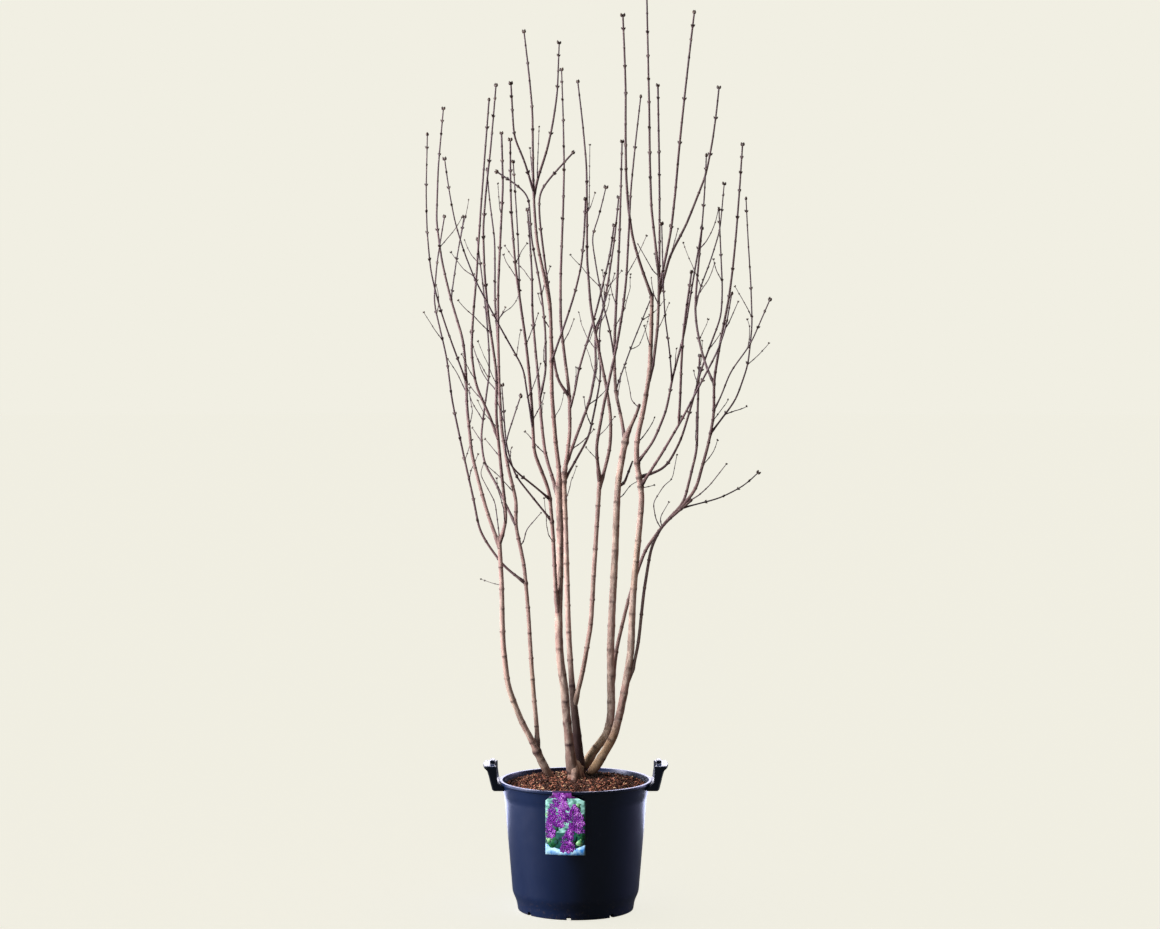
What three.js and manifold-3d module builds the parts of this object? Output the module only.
// A bare, many-stemmed lilac in winter, growing in a round nursery container with two lug handles.
// Millimetres, +Z up. The origin is the centre of the container's flat underside. +X is to the right as
// the shrub is seen from the front, and the front looks along -Y.
import * as THREE from 'three';
import { mergeVertices } from 'three/addons/utils/BufferGeometryUtils.js';
import Module from 'manifold-3d';

const wasm = await Module();
wasm.setup();

// ---------------------------------------------------------------- driving dimensions

const GAP = 0.3; // left between pieces that touch
const FACETS = 40; // flats round the container, the same on every ring so that neighbours run parallel

const POT = {
  height: 360,
  wall: 3.5,
  floor: 5,
  lip: { outer: 211, inner: 203, depth: 7 },
  skirt: { outer: 206, foot: 202, depth: 36 },
  shoulder: 197.5, // wall radius right under the skirt
  step: { outer: 175, top: 50, inner: 164, foot: 24 },
  foot: 160,
};
const DRAIN = { count: 8, radius: 7, height: 4, first: -97 }; // arched holes round the foot, angle in degrees

const SOIL = { top: 362, flat: 125, edge: 342 }; // a low mound, flat where the stems stand

const HANDLE = {
  bottom: 336,
  top: 416,
  halfWidth: { foot: 60, shoulder: 56, top: 20 },
  outer: { foot: 233, waist: 244, lip: 256, bar: 238 },
  inner: { web: 222, bar: 225 },
  lip: { under: 389, edge: 398, top: 405 }, // the shelf that the fingers pull on
  slot: { halfWidth: 38, bottom: 361, top: 381, corner: 8 },
  corner: 4,
};

const CARD = {
  left: -81,
  right: 26,
  bottom: 189,
  shoulder: 335, // where the top corners start to slant
  top: 351,
  neck: { left: -62, right: -11 },
  thickness: 1.5,
  hook: 12, // how far the tab reaches down inside the rim
};

// The limbs are drawn in a front elevation seen from this eye point. A limb that also leans forwards or
// backwards slides along its lines of sight, so that the front outline keeps its shape.
const EYE = new THREE.Vector3(12, -7400, 1600);
const FLARE = { grow: 0.55, fade: 35 }; // a stem widens by this share at the soil, over about this height
const BLUNT = 4; // thinnest tip
const SHOOT = 7.5; // a limb no thicker than this is a shoot, with young bark
const RING_STEP = 160; // furthest that two rings of a limb lie apart
const SEARCH = 500; // points of a limb that are tried as the start of the next one

// ---------------------------------------------------------------- colours

const FINISH = {
  plastic: { color: 0x1d2440, roughness: 0.35, metalness: 0 },
  soil: { color: 0x5a3a2c, roughness: 1, metalness: 0 },
  card: { color: 0x8b4a9c, roughness: 0.4, metalness: 0 },
  oldBark: { color: 0x8f7a6b, roughness: 0.9, metalness: 0 },
  youngBark: { color: 0x5d4a45, roughness: 0.8, metalness: 0 },
};

// ---------------------------------------------------------------- solids

// Turns a closed geometry into a solid. Facets that fold to a line on the axis are dropped.
function solid(geometry) {
  const bare = geometry.clone();
  bare.deleteAttribute('normal');
  bare.deleteAttribute('uv');
  const merged = mergeVertices(bare, 1e-4);
  const corners = [];
  const index = merged.index.array;
  for (let i = 0; i < index.length; i += 3) {
    const [a, b, c] = index.subarray(i, i + 3);
    if (a !== b && b !== c && c !== a) corners.push(a, b, c);
  }
  const build = (triVerts) =>
    new wasm.Manifold(
      new wasm.Mesh({
        numProp: 3,
        vertProperties: new Float32Array(merged.attributes.position.array),
        triVerts: new Uint32Array(triVerts),
      }),
    );
  const body = build(corners);
  return body.volume() > 0 ? body : build(corners.toReversed());
}

function largest(body) {
  return body.decompose().reduce((best, one) => (one.volume() > best.volume() ? one : best));
}

function mesh(name, body, finish) {
  const { vertProperties, triVerts } = body.getMesh();
  const geometry = new THREE.BufferGeometry();
  geometry.setAttribute('position', new THREE.BufferAttribute(vertProperties, 3));
  geometry.setIndex(new THREE.BufferAttribute(triVerts, 1));
  geometry.computeVertexNormals();
  const made = new THREE.Mesh(geometry, new THREE.MeshStandardMaterial(finish));
  made.name = name;
  return made;
}

// Turns [radius, height] corners about the container's axis.
function turned(corners) {
  const profile = [...corners, corners[0]].map(([radius, height]) => new THREE.Vector2(radius, height));
  return solid(new THREE.LatheGeometry(profile, FACETS).rotateX(Math.PI / 2));
}

// A thick plate: a shape drawn in [across, up], as seen from the front, running from y = near to y = far.
function plate(shape, near, far) {
  const depth = far - near;
  const geometry = new THREE.ExtrudeGeometry(shape, { depth, bevelEnabled: false, curveSegments: 3 });
  return solid(geometry.rotateX(Math.PI / 2).translate(0, far, 0));
}

function roundedShape(corners, radius) {
  const shape = new THREE.Shape();
  corners.forEach((corner, i) => {
    const at = new THREE.Vector2(...corner);
    const before = new THREE.Vector2(...corners.at(i - 1));
    const after = new THREE.Vector2(...corners[(i + 1) % corners.length]);
    const into = before.sub(at).setLength(radius).add(at);
    const out = after.sub(at).setLength(radius).add(at);
    if (i === 0) shape.moveTo(into.x, into.y);
    else shape.lineTo(into.x, into.y);
    shape.quadraticCurveTo(at.x, at.y, out.x, out.y);
  });
  shape.closePath();
  return shape;
}

// ---------------------------------------------------------------- container

// Outer and inner lines of the wall, from the foot up.
const outerWall = [
  [POT.foot, 0],
  [POT.step.inner, POT.step.foot],
  [POT.step.outer, POT.step.top],
  [POT.shoulder, POT.height - POT.skirt.depth - 2],
  [POT.skirt.foot, POT.height - POT.skirt.depth],
  [POT.skirt.outer, POT.height - POT.lip.depth - 1],
  [POT.lip.outer, POT.height - POT.lip.depth],
  [POT.lip.outer, POT.height],
];
const innerWall = [
  [POT.foot - POT.wall, POT.floor],
  [POT.step.inner - POT.wall, POT.step.foot + 2],
  [POT.step.outer - POT.wall, POT.step.top + 2],
  [POT.shoulder - POT.wall, POT.height - POT.skirt.depth - 2],
  [POT.lip.inner - 1, POT.height - POT.lip.depth - 3],
  [POT.lip.inner, POT.height],
];

function pot() {
  let body = turned([[0, 0], ...outerWall, ...innerWall.toReversed(), [0, POT.floor]]);
  for (let i = 0; i < DRAIN.count; i++) {
    const angle = THREE.MathUtils.degToRad(DRAIN.first + (360 / DRAIN.count) * i);
    const hole = new THREE.CylinderGeometry(DRAIN.radius, DRAIN.radius, 30, 8)
      .rotateZ(Math.PI / 2)
      .translate(POT.foot, 0, DRAIN.height)
      .rotateZ(angle);
    body = body.subtract(solid(hole));
  }
  return mesh('pot', body, FINISH.plastic);
}

// Potting bark, filling the container to a low mound.
function soil() {
  const side = innerWall.slice(0, 4).map(([radius, height]) => [radius - GAP, height]);
  side[0][1] += GAP;
  const rim = [POT.lip.inner - 5, SOIL.edge];
  const body = turned([[0, POT.floor + GAP], ...side, rim, [SOIL.flat, SOIL.top], [0, SOIL.top]]);
  return mesh('soil', body, FINISH.soil);
}

// One lug: a ring of its section, cut to its outline with the finger slot. side is 1 right, -1 left.
function handle(name, side) {
  const { outer, inner, lip, slot } = HANDLE;
  const { skirt } = POT;
  const slope = (skirt.outer - skirt.foot) / (skirt.depth - POT.lip.depth - 1);
  const skirtAtFoot = skirt.foot + slope * (HANDLE.bottom - POT.height + skirt.depth);
  const ring = turned([
    [skirtAtFoot + GAP, HANDLE.bottom],
    [outer.foot, HANDLE.bottom],
    [outer.waist, lip.under - 10],
    [outer.waist + 3, lip.under],
    [outer.lip, lip.edge],
    [outer.lip, lip.top],
    [outer.bar, lip.top],
    [outer.bar, HANDLE.top - 3],
    [outer.bar - 3, HANDLE.top],
    [inner.bar + 3, HANDLE.top],
    [inner.bar, HANDLE.top - 3],
    [inner.bar, lip.under - 6],
    [inner.web, POT.height - 2],
    [POT.lip.outer + 1, POT.height - 11],
    [skirt.outer + GAP, POT.height - 11],
  ]);
  const { foot, shoulder, top } = HANDLE.halfWidth;
  const halfOutline = [[foot, HANDLE.bottom], [shoulder, lip.top], [top, lip.top], [top, HANDLE.top]];
  const otherHalf = halfOutline.map(([across, up]) => [-across, up]).reverse();
  const outline = roundedShape([...halfOutline, ...otherHalf], HANDLE.corner);
  const { halfWidth, bottom, corner } = slot;
  outline.holes.push(
    roundedShape(
      [[-halfWidth, bottom], [-halfWidth, slot.top], [halfWidth, slot.top], [halfWidth, bottom]],
      corner,
    ),
  );
  const cutter = plate(outline, 190, 270).rotate([0, 0, side * -90]);
  return mesh(name, ring.intersect(cutter), FINISH.plastic);
}

// The hanging picture card, bent to the container's curve, with its tab hooked over the rim.
function card() {
  const face = POT.lip.outer + 0.5;
  const inside = POT.lip.inner - 2.2;
  const over = POT.height + 0.5;
  const { thickness, neck } = CARD;
  const ring = turned([
    [face, CARD.bottom],
    [face + thickness, CARD.bottom],
    [face + thickness, over + thickness],
    [inside - thickness, over + thickness],
    [inside - thickness, POT.height - CARD.hook],
    [inside, POT.height - CARD.hook],
    [inside, over],
    [face, over],
  ]);
  const outline = new THREE.Shape(
    [
      [CARD.left, CARD.bottom],
      [CARD.right, CARD.bottom],
      [CARD.right, CARD.shoulder],
      [neck.right, CARD.top],
      [neck.right, over + 5],
      [neck.left, over + 5],
      [neck.left, CARD.top],
      [CARD.left, CARD.shoulder],
    ].map((corner) => new THREE.Vector2(...corner)),
  );
  return mesh('picture_card', ring.intersect(plate(outline, -230, -150)), FINISH.card);
}

// ---------------------------------------------------------------- limbs

const limbs = new Map();

// A point of the front elevation, moved to depth y along its line of sight.
function onSight(x, z, y) {
  const reach = 1 - y / EYE.y;
  return new THREE.Vector3(EYE.x + (x - EYE.x) * reach, y, EYE.z + (z - EYE.z) * reach);
}

// Height in the front elevation of a point of the shrub.
const elevation = (point) => EYE.z + (point.z - EYE.z) / (1 - point.y / EYE.y);

// The rings of a tube along the curve: one at each of its corners, and more between corners that lie
// further apart than step. along is the length up to the ring.
function ringsOf(curve, step) {
  const spans = curve.points.length - 1;
  const rings = [];
  for (let span = 0; span < spans; span++) {
    const parts = Math.ceil(curve.points[span].distanceTo(curve.points[span + 1]) / step);
    for (let part = 0; part < parts; part++) rings.push({ at: (span + part / parts) / spans });
  }
  rings.push({ at: 1 });
  let along = 0;
  let before = curve.getPoint(0);
  for (const ring of rings) {
    ring.centre = curve.getPoint(ring.at);
    ring.tangent = curve.getTangent(ring.at);
    along += ring.centre.distanceTo(before);
    before = ring.centre;
    ring.along = along;
  }
  return rings;
}

// A closed tube on these rings, with a skin added all round. widthAt gives its diameter at a length.
function taperedTube(rings, widthAt, sides, skin) {
  const points = [];
  const faces = [];
  const normal = new THREE.Vector3(0, -1, 0);
  rings.forEach(({ centre, tangent, along }, i) => {
    const end = i === 0 ? -skin : i === rings.length - 1 ? skin : 0;
    const middle = centre.clone().addScaledVector(tangent, end);
    normal.addScaledVector(tangent, -normal.dot(tangent)).normalize();
    const across = tangent.clone().cross(normal);
    const radius = widthAt(along) / 2 + skin;
    for (let k = 0; k < sides; k++) {
      const angle = (2 * Math.PI * k) / sides;
      const corner = middle
        .clone()
        .addScaledVector(normal, radius * Math.cos(angle))
        .addScaledVector(across, radius * Math.sin(angle));
      points.push(...corner);
      if (i === 0) continue;
      const here = i * sides + k;
      const next = i * sides + ((k + 1) % sides);
      faces.push(here - sides, next - sides, next, here - sides, next, here);
    }
  });
  const last = (rings.length - 1) * sides;
  for (let k = 1; k < sides - 1; k++) faces.push(0, k + 1, k, last, last + k, last + k + 1);
  const geometry = new THREE.BufferGeometry();
  geometry.setAttribute('position', new THREE.Float32BufferAttribute(points, 3));
  geometry.setIndex(faces);
  return solid(geometry);
}

// Draws one limb. start is where its centre line begins. via and tip are [x, z] in the front elevation,
// and depth is how far behind the container's axis the tip lies (in front where it is negative). A limb
// leans out quickly at first and then turns upright. width is [at its foot, at its tip].
function limb(name, start, { via = [], tip, depth, width, sides, flare = 0 }) {
  const low = elevation(start);
  const lean = (z) => Math.sin((Math.PI / 2) * ((z - low) / (tip[1] - low)));
  const line = [...via, tip].map(([x, z]) => onSight(x, z, start.y + (depth - start.y) * lean(z)));
  const curve = new THREE.CatmullRomCurve3([start, ...line], false, 'centripetal');
  const rings = ringsOf(curve, RING_STEP);
  const length = rings.at(-1).along;
  const widthAt = (along) =>
    (width[0] + ((width[1] - width[0]) * along) / length) * (1 + flare * Math.exp(-along / FLARE.fade));
  const flats = sides ?? (width[0] > SHOOT ? 6 : 5);
  return { name, curve, tube: (skin) => taperedTube(rings, widthAt, flats, skin) };
}

// A stem that rises from the soil at [x, y], cut off flat at ground level.
function stem(name, [x, y], shape) {
  const buried = 20;
  const start = new THREE.Vector3(x, y, SOIL.top - buried);
  const made = limb(name, start, { sides: 8, flare: FLARE.grow, ...shape });
  const ground = new THREE.BoxGeometry(400, 400, 200).translate(0, 0, SOIL.top + GAP - 100);
  limbs.set(name, { ...made, body: made.tube(0).subtract(solid(ground)), finish: FINISH.oldBark });
}

// A bough or shoot that grows from the parent's centre line, at this height in the front elevation. It gives
// way to its parent and to the boughs that already grow from it.
function bough(name, from, at, shape) {
  const parent = limbs.get(from);
  const line = parent.curve.getPoints(SEARCH);
  const start = line.find((point) => elevation(point) >= at);
  const made = limb(name, start, shape);
  const older = [...limbs.values()].filter((one) => one.from === from);
  const body = [parent, ...older].reduce((left, one) => left.subtract(one.tube(GAP)), made.tube(0));
  const finish = shape.width[0] > SHOOT ? FINISH.oldBark : FINISH.youngBark;
  limbs.set(name, { ...made, from, body: largest(body), finish });
}

function leftStems() {
  stem('left_stem', [-65, 25], {
    via: [[-120, 465], [-153, 527], [-188, 620], [-201, 740], [-204, 900]],
    tip: [-211, 1035], depth: -45, width: [19.5, 12],
  });
  bough('left_leader', 'left_stem', 1005, {
    via: [[-236, 1077], [-254, 1135], [-286, 1259], [-300, 1400], [-301, 1475], [-308, 1571],
      [-345, 1695], [-382, 1900]],
    tip: [-362, 2207], depth: 110, width: [11.5, BLUNT],
  });
  bough('left_stem_inner', 'left_stem', 440, {
    via: [[-106, 490], [-114, 570], [-123, 690], [-142, 955], [-167, 1070], [-162, 1128], [-188, 1231],
      [-204, 1330], [-213, 1720], [-199, 2000]],
    tip: [-203, 2140], depth: 190, width: [13.5, 5.5], sides: 8,
  });
  bough('left_fork_bough', 'left_stem', 1015, {
    via: [[-191, 1075], [-194, 1115], [-219, 1370], [-217, 1480], [-240, 1640], [-254, 1880],
      [-234, 2087]],
    tip: [-218, 2270], depth: -260, width: [10.5, 4.5],
  });
  bough('left_upper_bough', 'left_fork_bough', 1300, {
    via: [[-234, 1361], [-275, 1451], [-287, 1540], [-273, 1740], [-260, 1935]],
    tip: [-237, 2231], depth: -190, width: [8.5, 5],
  });
  bough('left_outer_bough', 'left_stem_inner', 900, {
    via: [[-197, 950], [-240, 1008], [-266, 1052], [-280, 1130], [-340, 1408], [-355, 1530],
      [-390, 1680]],
    tip: [-360, 1912], depth: 20, width: [8, BLUNT],
  });
  bough('left_far_shoot', 'left_leader', 1460, {
    via: [[-323, 1520], [-355, 1608], [-398, 1765], [-410, 1980]],
    tip: [-406, 2136], depth: -140, width: [6, BLUNT],
  });
  bough('left_side_shoot', 'left_leader', 1685, {
    via: [[-326, 1800]],
    tip: [-306, 1912], depth: 230, width: [5, BLUNT],
  });
  bough('left_rear_bough', 'left_stem_inner', 1070, {
    via: [[-195, 1127], [-217, 1176], [-253, 1237], [-261, 1310], [-250, 1395], [-237, 1485],
      [-245, 1640]],
    tip: [-270, 1850], depth: 320, width: [8, BLUNT],
  });
  bough('left_inner_shoot', 'left_stem_inner', 1560, {
    via: [[-222, 1680], [-222, 1850], [-236, 1958]],
    tip: [-243, 2040], depth: 320, width: [7.5, BLUNT],
  });
}

function centreStems() {
  stem('centre_stem_front', [-6, 5], {
    via: [[-18.5, 470], [-26, 540], [-30, 610], [-41, 675], [-46, 740], [-47, 850], [-43, 950], [-43, 1060]],
    tip: [-48, 1180], depth: -60, width: [26, 19],
  });
  bough('centre_leader', 'centre_stem_front', 1150, {
    via: [[-45, 1215], [-55, 1290], [-66, 1430], [-69, 1660], [-84, 1740], [-106, 1840], [-117, 2040],
      [-118, 2200]],
    tip: [-141, 2416], depth: -110, width: [14, 4.5],
  });
  bough('centre_left_bough', 'centre_stem_front', 815, {
    via: [[-55, 880], [-58, 950], [-62, 1031], [-68, 1108], [-72, 1157], [-84, 1190], [-104, 1239],
      [-115, 1265], [-119, 1370], [-136, 1565], [-165, 1770], [-177, 1930]],
    tip: [-179, 2122], depth: -300, width: [13, 5],
  });
  bough('centre_left_twin', 'centre_left_bough', 1690, {
    via: [[-158, 1850]],
    tip: [-171, 2062], depth: -200, width: [5, BLUNT],
  });
  bough('centre_mid_bough', 'centre_stem_front', 1140, {
    via: [[-84, 1260], [-101, 1450], [-119, 1650], [-120, 1760]],
    tip: [-132, 1931], depth: 30, width: [11, 5],
  });
  bough('centre_wavy_bough', 'centre_mid_bough', 1415, {
    via: [[-82, 1485], [-83, 1600], [-95, 1713], [-122, 1855], [-128, 1972], [-163, 2001]],
    tip: [-213, 2034], depth: -40, width: [7.5, 5],
  });
  bough('arching_bough', 'centre_left_bough', 1335, {
    via: [[-137, 1450], [-142, 1495], [-200, 1597], [-276, 1740], [-331, 1898]],
    tip: [-359, 2070], depth: -380, width: [6, BLUNT],
  });
  bough('leader_left_shoot', 'centre_leader', 1980, {
    via: [[-141, 2068], [-169, 2130]],
    tip: [-177, 2275], depth: -190, width: [7, 5.5],
  });
  bough('leader_right_shoot', 'centre_leader', 1965, {
    via: [[-105, 2015], [-78, 2095], [-50, 2250]],
    tip: [-45, 2386], depth: -10, width: [8.5, BLUNT],
  });
  bough('centre_cross_shoot', 'centre_leader', 1515, {
    via: [[-26, 1630], [16, 1780]],
    tip: [27, 1960], depth: -330, width: [7, 5.5],
  });
  bough('centre_low_bough', 'centre_left_bough', 1135, {
    via: [[-112, 1172], [-171, 1218], [-198, 1270], [-186, 1317]],
    tip: [-152, 1419], depth: -330, width: [7, BLUNT],
  });
  bough('centre_low_twin', 'centre_left_bough', 1075, {
    via: [[-104, 1124], [-168, 1204], [-192, 1290]],
    tip: [-203, 1450], depth: -210, width: [7, BLUNT],
  });
}

function rearStems() {
  stem('centre_stem_back', [13, 62], {
    via: [[2.5, 500], [-7.5, 590], [-20, 775], [-26, 1000]],
    tip: [-33, 1215], depth: 100, width: [18, 14],
  });
  bough('rear_leader', 'centre_stem_back', 1195, {
    via: [[-15.5, 1320], [-17.5, 1430], [-41.5, 1620], [-41.5, 1740], [-31.5, 2050]],
    tip: [-38.5, 2313], depth: 230, width: [12, BLUNT],
  });
  bough('centre_link_bough', 'rear_leader', 1420, {
    via: [[-50, 1463], [-66, 1560], [-68, 1670], [-80, 1751], [-99, 1904], [-101, 1978], [-72, 2017]],
    tip: [-9, 2086], depth: 60, width: [9, 5.5],
  });
  bough('rear_right_bough', 'rear_leader', 1230, {
    via: [[9, 1330], [40, 1411], [56, 1500], [53, 1590], [76, 1660], [90, 1740], [107, 1855]],
    tip: [118, 1965], depth: 390, width: [10, 5],
  });
  bough('rear_slant_bough', 'rear_leader', 1390, {
    via: [[-2, 1433], [6, 1485], [38, 1592], [61, 1671], [95, 1812]],
    tip: [105, 1888], depth: 60, width: [7.5, 5.5],
  });
  bough('rear_wavy_bough', 'centre_stem_back', 1185, {
    via: [[36.5, 1309], [54.5, 1394], [68.5, 1470], [64.5, 1600]],
    tip: [82.5, 1700], depth: 290, width: [8, BLUNT],
  });
  bough('centre_stem_right', 'centre_stem_back', 565, {
    via: [[19, 655], [42, 790], [50, 930]],
    tip: [67, 1205], depth: 10, width: [14, 13], sides: 8,
  });
  bough('middle_leader', 'centre_stem_right', 1175, {
    via: [[82, 1225], [96, 1285], [97, 1365], [85, 1445], [58, 1575], [41, 1666], [31, 1800], [30, 2050]],
    tip: [6, 2280], depth: 90, width: [11, 4.5],
  });
  bough('middle_front_bough', 'centre_stem_right', 1185, {
    via: [[56, 1280], [80, 1411], [116, 1575], [139, 1740], [151, 1986]],
    tip: [178, 2239], depth: -300, width: [10.5, BLUNT],
  });
}

function rightStems() {
  stem('right_stem_inner', [6, 98], {
    via: [[48, 437], [89.5, 486], [98.5, 540], [96, 719], [110, 1010], [117, 1190], [133, 1280]],
    tip: [142, 1322], depth: 130, width: [25, 18],
  });
  bough('right_stub_bough', 'right_stem_inner', 1300, {
    via: [[152, 1342], [166, 1365]],
    tip: [176, 1400], depth: 110, width: [12, 9],
  });
  bough('right_rear_bough', 'right_stem_inner', 1300, {
    via: [[124, 1368], [110, 1430], [106, 1520], [111, 1671], [120, 1850]],
    tip: [127, 2117], depth: 350, width: [11, 5],
  });
  bough('right_slant_shoot', 'right_rear_bough', 1435, {
    via: [[155, 1562]],
    tip: [207, 1690], depth: 380, width: [5, BLUNT],
  });
  bough('right_wavy_shoot', 'right_rear_bough', 1530, {
    via: [[93, 1607], [78, 1661], [58, 1765], [43, 1860], [61, 1904]],
    tip: [83, 1992], depth: 200, width: [6, BLUNT],
  });
  bough('right_stem_cross', 'right_stem_inner', 595, {
    via: [[112, 718], [130, 797], [150, 875], [191, 997], [252, 1080], [298, 1125], [315, 1196],
      [334, 1273], [336, 1400]],
    tip: [341, 1530], depth: 260, width: [12.5, 6.5],
  });
  stem('right_stem_outer', [31, 52], {
    via: [[69, 416], [107, 480], [130.5, 580], [152.5, 710], [157.5, 860], [173.5, 1035], [183.5, 1145],
      [166.5, 1250], [169.5, 1310], [187.5, 1385], [203.5, 1490]],
    tip: [209.5, 1705], depth: -80, width: [25, 10.5],
  });
  bough('right_stem_thin', 'right_stem_outer', 590, {
    via: [[155, 655], [173, 735], [188, 880], [208, 1005], [238, 1065]],
    tip: [320, 1136], depth: -30, width: [10.5, 8.5],
  });
}

function leaderShoots() {
  bough('outer_leader', 'right_stem_outer', 1470, {
    via: [[214.5, 1520], [225.5, 1610], [229.5, 1740], [207.5, 1935], [201.5, 2200]],
    tip: [193.5, 2545], depth: -100, width: [9.5, 5],
  });
  bough('outer_leader_twin', 'outer_leader', 1740, {
    via: [[230, 1960]],
    tip: [225, 2270], depth: 60, width: [7, 6],
  });
  bough('leader_left_rod', 'right_stem_outer', 1690, {
    via: [[157, 1850], [138, 2030], [137, 2260]],
    tip: [129, 2460], depth: -230, width: [9, 5.5],
  });
  bough('leader_right_rod', 'outer_leader', 1725, {
    via: [[262, 1877], [283, 2095], [302, 2278]],
    tip: [324, 2468], depth: -330, width: [8, 5.5],
  });
  bough('leader_wide_rod', 'outer_leader', 1700, {
    via: [[259, 1808], [303, 1890], [357, 2027], [386, 2204]],
    tip: [392, 2264], depth: 60, width: [8.5, 5],
  });
}

function rightBoughs() {
  bough('right_outer_bough', 'right_stem_thin', 1112, {
    via: [[333, 1165], [343, 1208], [365, 1286], [381, 1370], [380, 1463], [396, 1562], [421, 1690],
      [440, 1863]],
    tip: [457, 2109], depth: -20, width: [10, 5],
  });
  bough('right_front_bough', 'right_stem_outer', 1235, {
    via: [[214, 1295], [250, 1383], [266, 1471], [298, 1590], [320, 1726], [346, 1877]],
    tip: [358, 2079], depth: -250, width: [8, BLUNT],
  });
  bough('right_thin_riser', 'right_front_bough', 1465, {
    via: [[258, 1548], [245, 1640], [240, 1740]],
    tip: [236, 1892], depth: -330, width: [5, BLUNT],
  });
  bough('right_mid_bough', 'right_stem_outer', 1172, {
    via: [[235, 1259], [293, 1358], [348, 1464], [388, 1540], [412, 1605]],
    tip: [428, 1700], depth: -400, width: [9, BLUNT],
  });
  bough('right_upright_bough', 'right_mid_bough', 1340, {
    via: [[288, 1425], [295, 1589]],
    tip: [318, 1760], depth: -400, width: [8, 6],
  });
  bough('right_riser', 'right_outer_bough', 1455, {
    via: [[362, 1494], [346, 1545], [333, 1607], [328, 1658], [331, 1713]],
    tip: [346, 1880], depth: 200, width: [8, 6],
  });
  bough('right_rear_shoot', 'right_riser', 1662, {
    via: [[342, 1718], [371, 1795], [396, 1877]],
    tip: [407, 2002], depth: 330, width: [5, BLUNT],
  });
  bough('right_long_bough', 'right_stem_outer', 1196, {
    via: [[218, 1210], [250, 1225], [290, 1300], [322, 1407], [342, 1485], [367, 1553], [400, 1640],
      [399, 1800]],
    tip: [393, 1931], depth: 120, width: [8, BLUNT],
  });
  bough('right_far_bough', 'right_outer_bough', 1320, {
    via: [[441, 1411], [474, 1507], [485, 1617], [473, 1849]],
    tip: [467, 1961], depth: 120, width: [6, BLUNT],
  });
  bough('right_far_twig', 'right_outer_bough', 1385, {
    via: [[398, 1415], [425, 1488], [480, 1562]],
    tip: [533, 1685], depth: -130, width: [5, BLUNT],
  });
  bough('right_low_twig', 'right_stem_thin', 1112, {
    via: [[398, 1140], [467, 1176]],
    tip: [502, 1210], depth: 40, width: [5, BLUNT],
  });
}

// ---------------------------------------------------------------- assembly

leftStems();
centreStems();
rearStems();
rightStems();
leaderShoots();
rightBoughs();

const shrub = new THREE.Group();
shrub.add(pot(), soil(), handle('handle_left', -1), handle('handle_right', 1), card());
for (const { name, body, finish } of limbs.values()) shrub.add(mesh(name, body, finish));

export default shrub;
